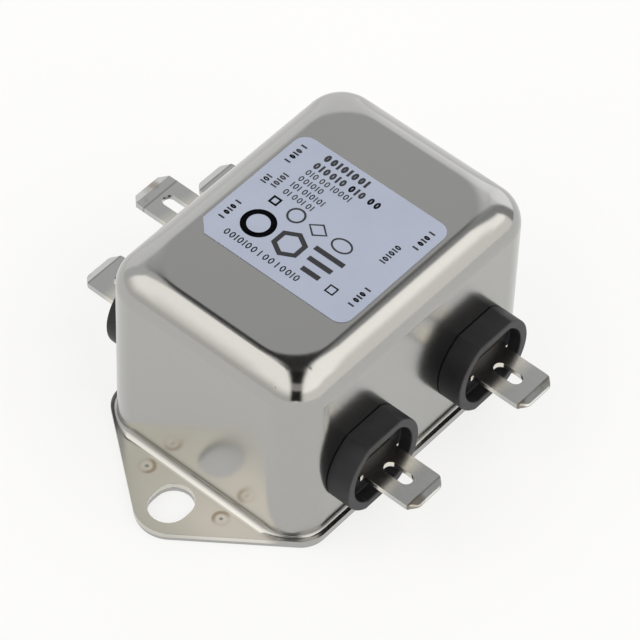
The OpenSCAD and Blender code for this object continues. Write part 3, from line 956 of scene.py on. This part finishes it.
def tab_metal():
    """Warm near the bush, cooler outside, with a painted shade line at the crease of the coined tip and
    a stain there.
    """
    material, tree, shader = principled("tab_metal", metallic=1.0)
    cloud = noise(tree, 220, 3)
    grain = noise(tree, 2600, 2, (1, 0.2, 1))
    reach = abs(axis(tree, 1)) + (cloud - 0.5) * 2 * MM
    tip = -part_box("load_tab_p")[0].y
    colour = blend(tree, reach.step(tip - 5.5 * MM, tip - 3.0 * MM), (0.74, 0.71, 0.64),
                   (0.48, 0.485, 0.475))
    # painted shade: a dark line along the crease where the coined tip begins
    start = abs(axis(tree, 1)).band(tip - 1.05 * MM, 0.05 * MM, 0.15 * MM)
    colour = blend(tree, start * (0.3 + cloud * 0.5), colour, (0.16, 0.15, 0.13))
    stain = (cloud * abs(axis(tree, 1)).step(tip - 1.8 * MM, tip - 1.0 * MM)).step(0.52, 0.62)
    colour = blend(tree, stain * 0.6, colour, (0.16, 0.12, 0.08))
    connect(tree, colour, shader.inputs["Base Color"])
    connect(tree, 0.14 + grain * 0.10, shader.inputs["Roughness"])
    bump(tree, shader, grain * 0.0015 * MM)
    return material


def film_finish():
    """Pale bluish film with a faint cloud in it."""
    material, tree, shader = principled("label_film", metallic=0.0)
    cloud = noise(tree, 120, 3)
    grain = noise(tree, 3500, 2)
    colour = blend(tree, cloud.step(0.3, 0.7), (0.370, 0.412, 0.528), (0.390, 0.432, 0.545))
    connect(tree, colour, shader.inputs["Base Color"])
    connect(tree, 0.45 + grain * 0.1, shader.inputs["Roughness"])
    bump(tree, shader, grain * 0.001 * MM)
    return material


def ink_finish():
    """Dark, slightly mottled ink."""
    material, tree, shader = principled("print_ink", metallic=0.0)
    mottle = noise(tree, 2500, 2)
    colour = blend(tree, mottle, (0.008, 0.008, 0.012), (0.022, 0.022, 0.028))
    connect(tree, colour, shader.inputs["Base Color"])
    connect(tree, 0.4 + mottle * 0.2, shader.inputs["Roughness"])
    return material


plastic = bush_plastic()
brass = tab_metal()
for piece in bushes:
    piece.data.materials.append(plastic)
for piece in tabs + [earth]:
    piece.data.materials.append(brass)
label_film.data.materials.append(film_finish())
label_print.data.materials.append(ink_finish())
print("plastic, tab metal, film and ink are on")

# %% [markdown]
# ### What the can hides
# The inner pieces keep their engineering shape and only get a finish, by filling the material
# slots of their nodes: card, resin, ferrite, white plastic, enamelled copper, yellow
# capacitor boxes and a tan resistor. A lead that belongs to a box is made metal by its place.

# %% Inner finishes
CAP_H = 11.5 * MM           # height of a capacitor's box, over its leads
BLEED_L = 6.5 * MM          # length of the resistor's body, between its leads


def mottled(name, dark, light, scale, rough, relief=0.01, **values):
    """A plain mottled finish: two near colours, an even roughness and a fine relief."""
    material, tree, shader = principled(name, **values)
    pattern = noise(tree, scale, 4)
    connect(tree, blend(tree, pattern.step(0.3, 0.7), dark, light), shader.inputs["Base Color"])
    connect(tree, rough + pattern * 0.1, shader.inputs["Roughness"])
    bump(tree, shader, pattern * relief * MM)
    return material


def with_leads(name, dark, light, is_lead):
    """A boxed component whose leads are tinned wire; is_lead gives the mask."""
    material, tree, shader = principled(name)
    pattern = noise(tree, 900, 3)
    lead = is_lead(tree)
    body = blend(tree, pattern.step(0.3, 0.7), dark, light)
    connect(tree, blend(tree, lead, body, (0.62, 0.61, 0.58)), shader.inputs["Base Color"])
    connect(tree, lead, shader.inputs["Metallic"])
    connect(tree, 0.38 - lead * 0.12 + pattern * 0.06, shader.inputs["Roughness"])
    bump(tree, shader, pattern * 0.004 * MM)
    return material


def below_box(tree):
    """1 on a capacitor's leads."""
    box_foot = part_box("load_capacitor")[1].z - CAP_H
    return 1 - axis(tree, 2).step(box_foot - 0.05 * MM, box_foot)


def beside_body(tree):
    """1 on the resistor's leads."""
    return abs(axis(tree, 0)).step(BLEED_L / 2, BLEED_L / 2 + 0.05 * MM)


def paint(finish, *nodes):
    """Fill every material slot of engineering nodes."""
    for name in nodes:
        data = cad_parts[name].data
        data.materials.clear()
        data.materials.append(finish)


paint(mottled("liner_card", (0.50, 0.42, 0.27), (0.58, 0.50, 0.33), 1200, 0.7),
      "insulating_liner")
paint(mottled("sealing_resin", (0.012, 0.018, 0.018), (0.02, 0.028, 0.027), 200, 0.25),
      "sealing_resin")
paint(mottled("ferrite", (0.035, 0.035, 0.038), (0.06, 0.06, 0.062), 2600, 0.75),
      "choke_ferrite")
paint(mottled("white_plastic", (0.70, 0.69, 0.65), (0.76, 0.75, 0.71), 500, 0.4),
      "choke_core_case", "choke_case_lid", "choke_divider")
paint(mottled("enamelled_copper", (0.58, 0.22, 0.09), (0.66, 0.27, 0.12), 700, 0.22, 0.004,
              metallic=1.0, coat_weight=0.5), "choke_winding_n", "choke_winding_p")
paint(with_leads("yellow_box", (0.60, 0.40, 0.04), (0.68, 0.46, 0.06), below_box),
      "line_capacitor", "load_capacitor")
paint(with_leads("tan_resistor", (0.55, 0.42, 0.26), (0.62, 0.48, 0.31), beside_body),
      "bleed_resistor")
print("every inner node has its finish")

# %% [markdown]
# ## View transform
# The view transform stays plain, so that a colour renders about as it is written.

# %% Keep the view transform plain
bpy.context.scene.view_settings.view_transform = "Standard"
